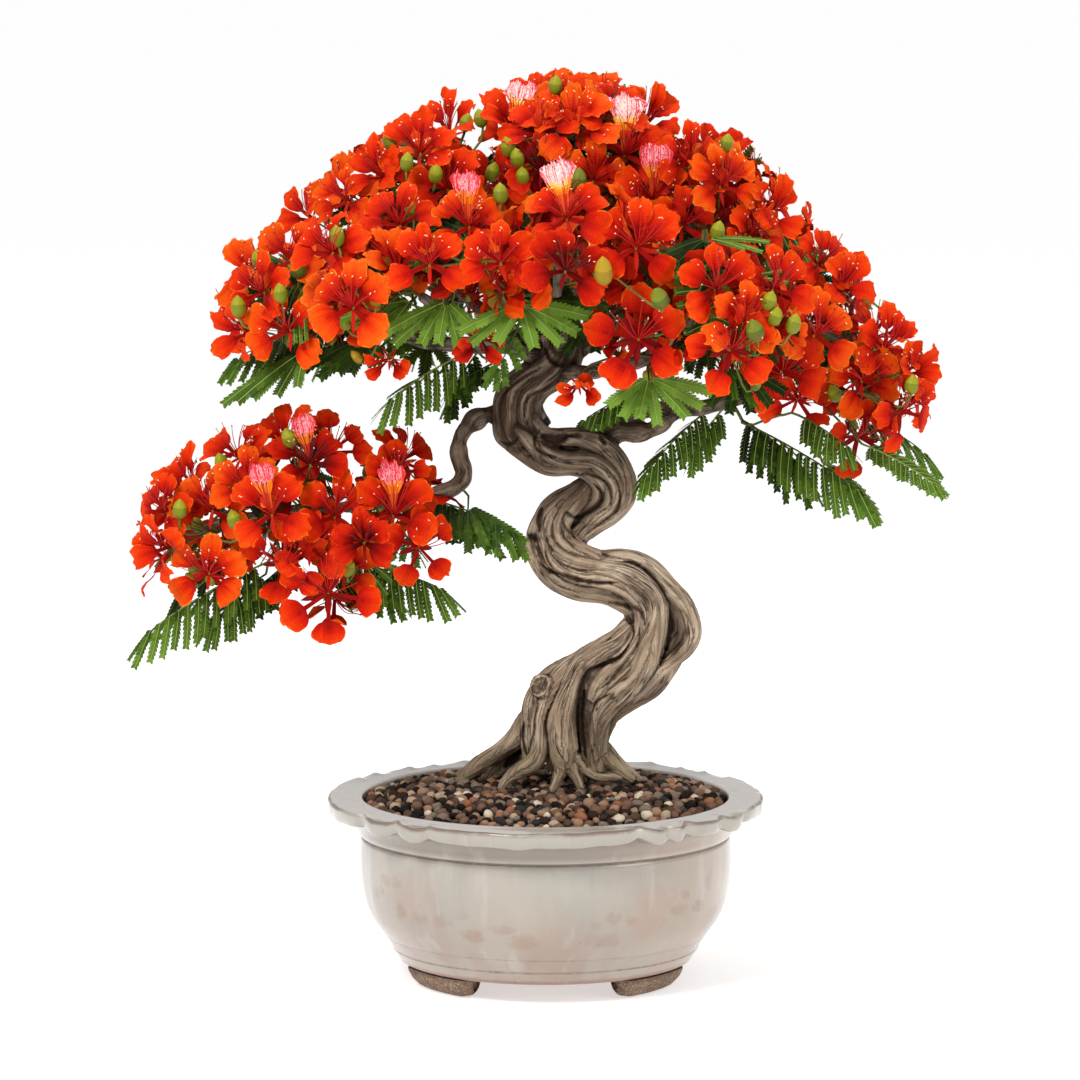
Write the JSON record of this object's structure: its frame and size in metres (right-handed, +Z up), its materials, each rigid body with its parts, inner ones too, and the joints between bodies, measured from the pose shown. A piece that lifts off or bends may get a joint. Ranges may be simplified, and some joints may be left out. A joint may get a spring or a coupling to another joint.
{
  "type": "potted flowering tree",
  "caption": "Small twisting royal poinciana tree with a domed red-orange flowering crown and a low side pad, planted in a round scalloped ceramic bowl on short feet.",
  "frame": {"origin": "floor level on the bowl's axis, which is the middle of the whole plant's box at its base", "axes": "+Z up along the bowl's axis, +X to the right as the tree is seen from its front, +Y away from the front; the low side pad hangs towards -X"},
  "size_m": [0.8032, 0.5936, 0.9206],
  "materials": {
    "bowl_glaze": "gloss off-white glaze with faint tan blotches",
    "raw_clay": "unglazed speckled brown clay",
    "gravel": "matt mixed brown, black and cream grains",
    "trunk_bark": "matt weathered taupe bark with dark folds",
    "bough_bark": "matt dark brown bark",
    "blossom": "soft satin red-orange petals over green fronds",
    "leaf": "satin green fronds"
  },
  "bodies": {
    "root": {"bough_back": "bough_bark", "bough_front": "bough_bark", "bough_front_right": "bough_bark", "bough_left": "bough_bark", "bough_low_left_lower": "bough_bark", "bough_low_left_upper": "bough_bark", "bough_right": "bough_bark", "bough_upper_left": "bough_bark", "bough_upper_right": "bough_bark", "bowl": "bowl_glaze", "crown_back": "blossom", "crown_back_left": "blossom", "crown_back_right": "blossom", "crown_front": "blossom", "crown_front_left": "blossom", "crown_front_right": "blossom", "crown_left": "blossom", "crown_right": "blossom", "crown_right_tip": "blossom", "crown_top": "blossom", "crown_upper_left": "blossom", "crown_upper_right": "blossom", "foot_back": "raw_clay", "foot_front_left": "raw_clay", "foot_front_right": "raw_clay", "fronds_left": "leaf", "fronds_low_inner": "leaf", "fronds_low_outer": "leaf", "fronds_low_tip": "leaf", "fronds_right": "leaf", "gravel": "gravel", "pad_inner": "blossom", "pad_low": "blossom", "pad_middle": "blossom", "pad_outer": "blossom", "trunk_base": "trunk_bark", "trunk_leader": "trunk_bark", "trunk_lower": "trunk_bark", "trunk_middle": "trunk_bark", "trunk_shoulder": "trunk_bark", "trunk_top": "trunk_bark", "trunk_waist": "trunk_bark"}
  },
  "joints": []
}
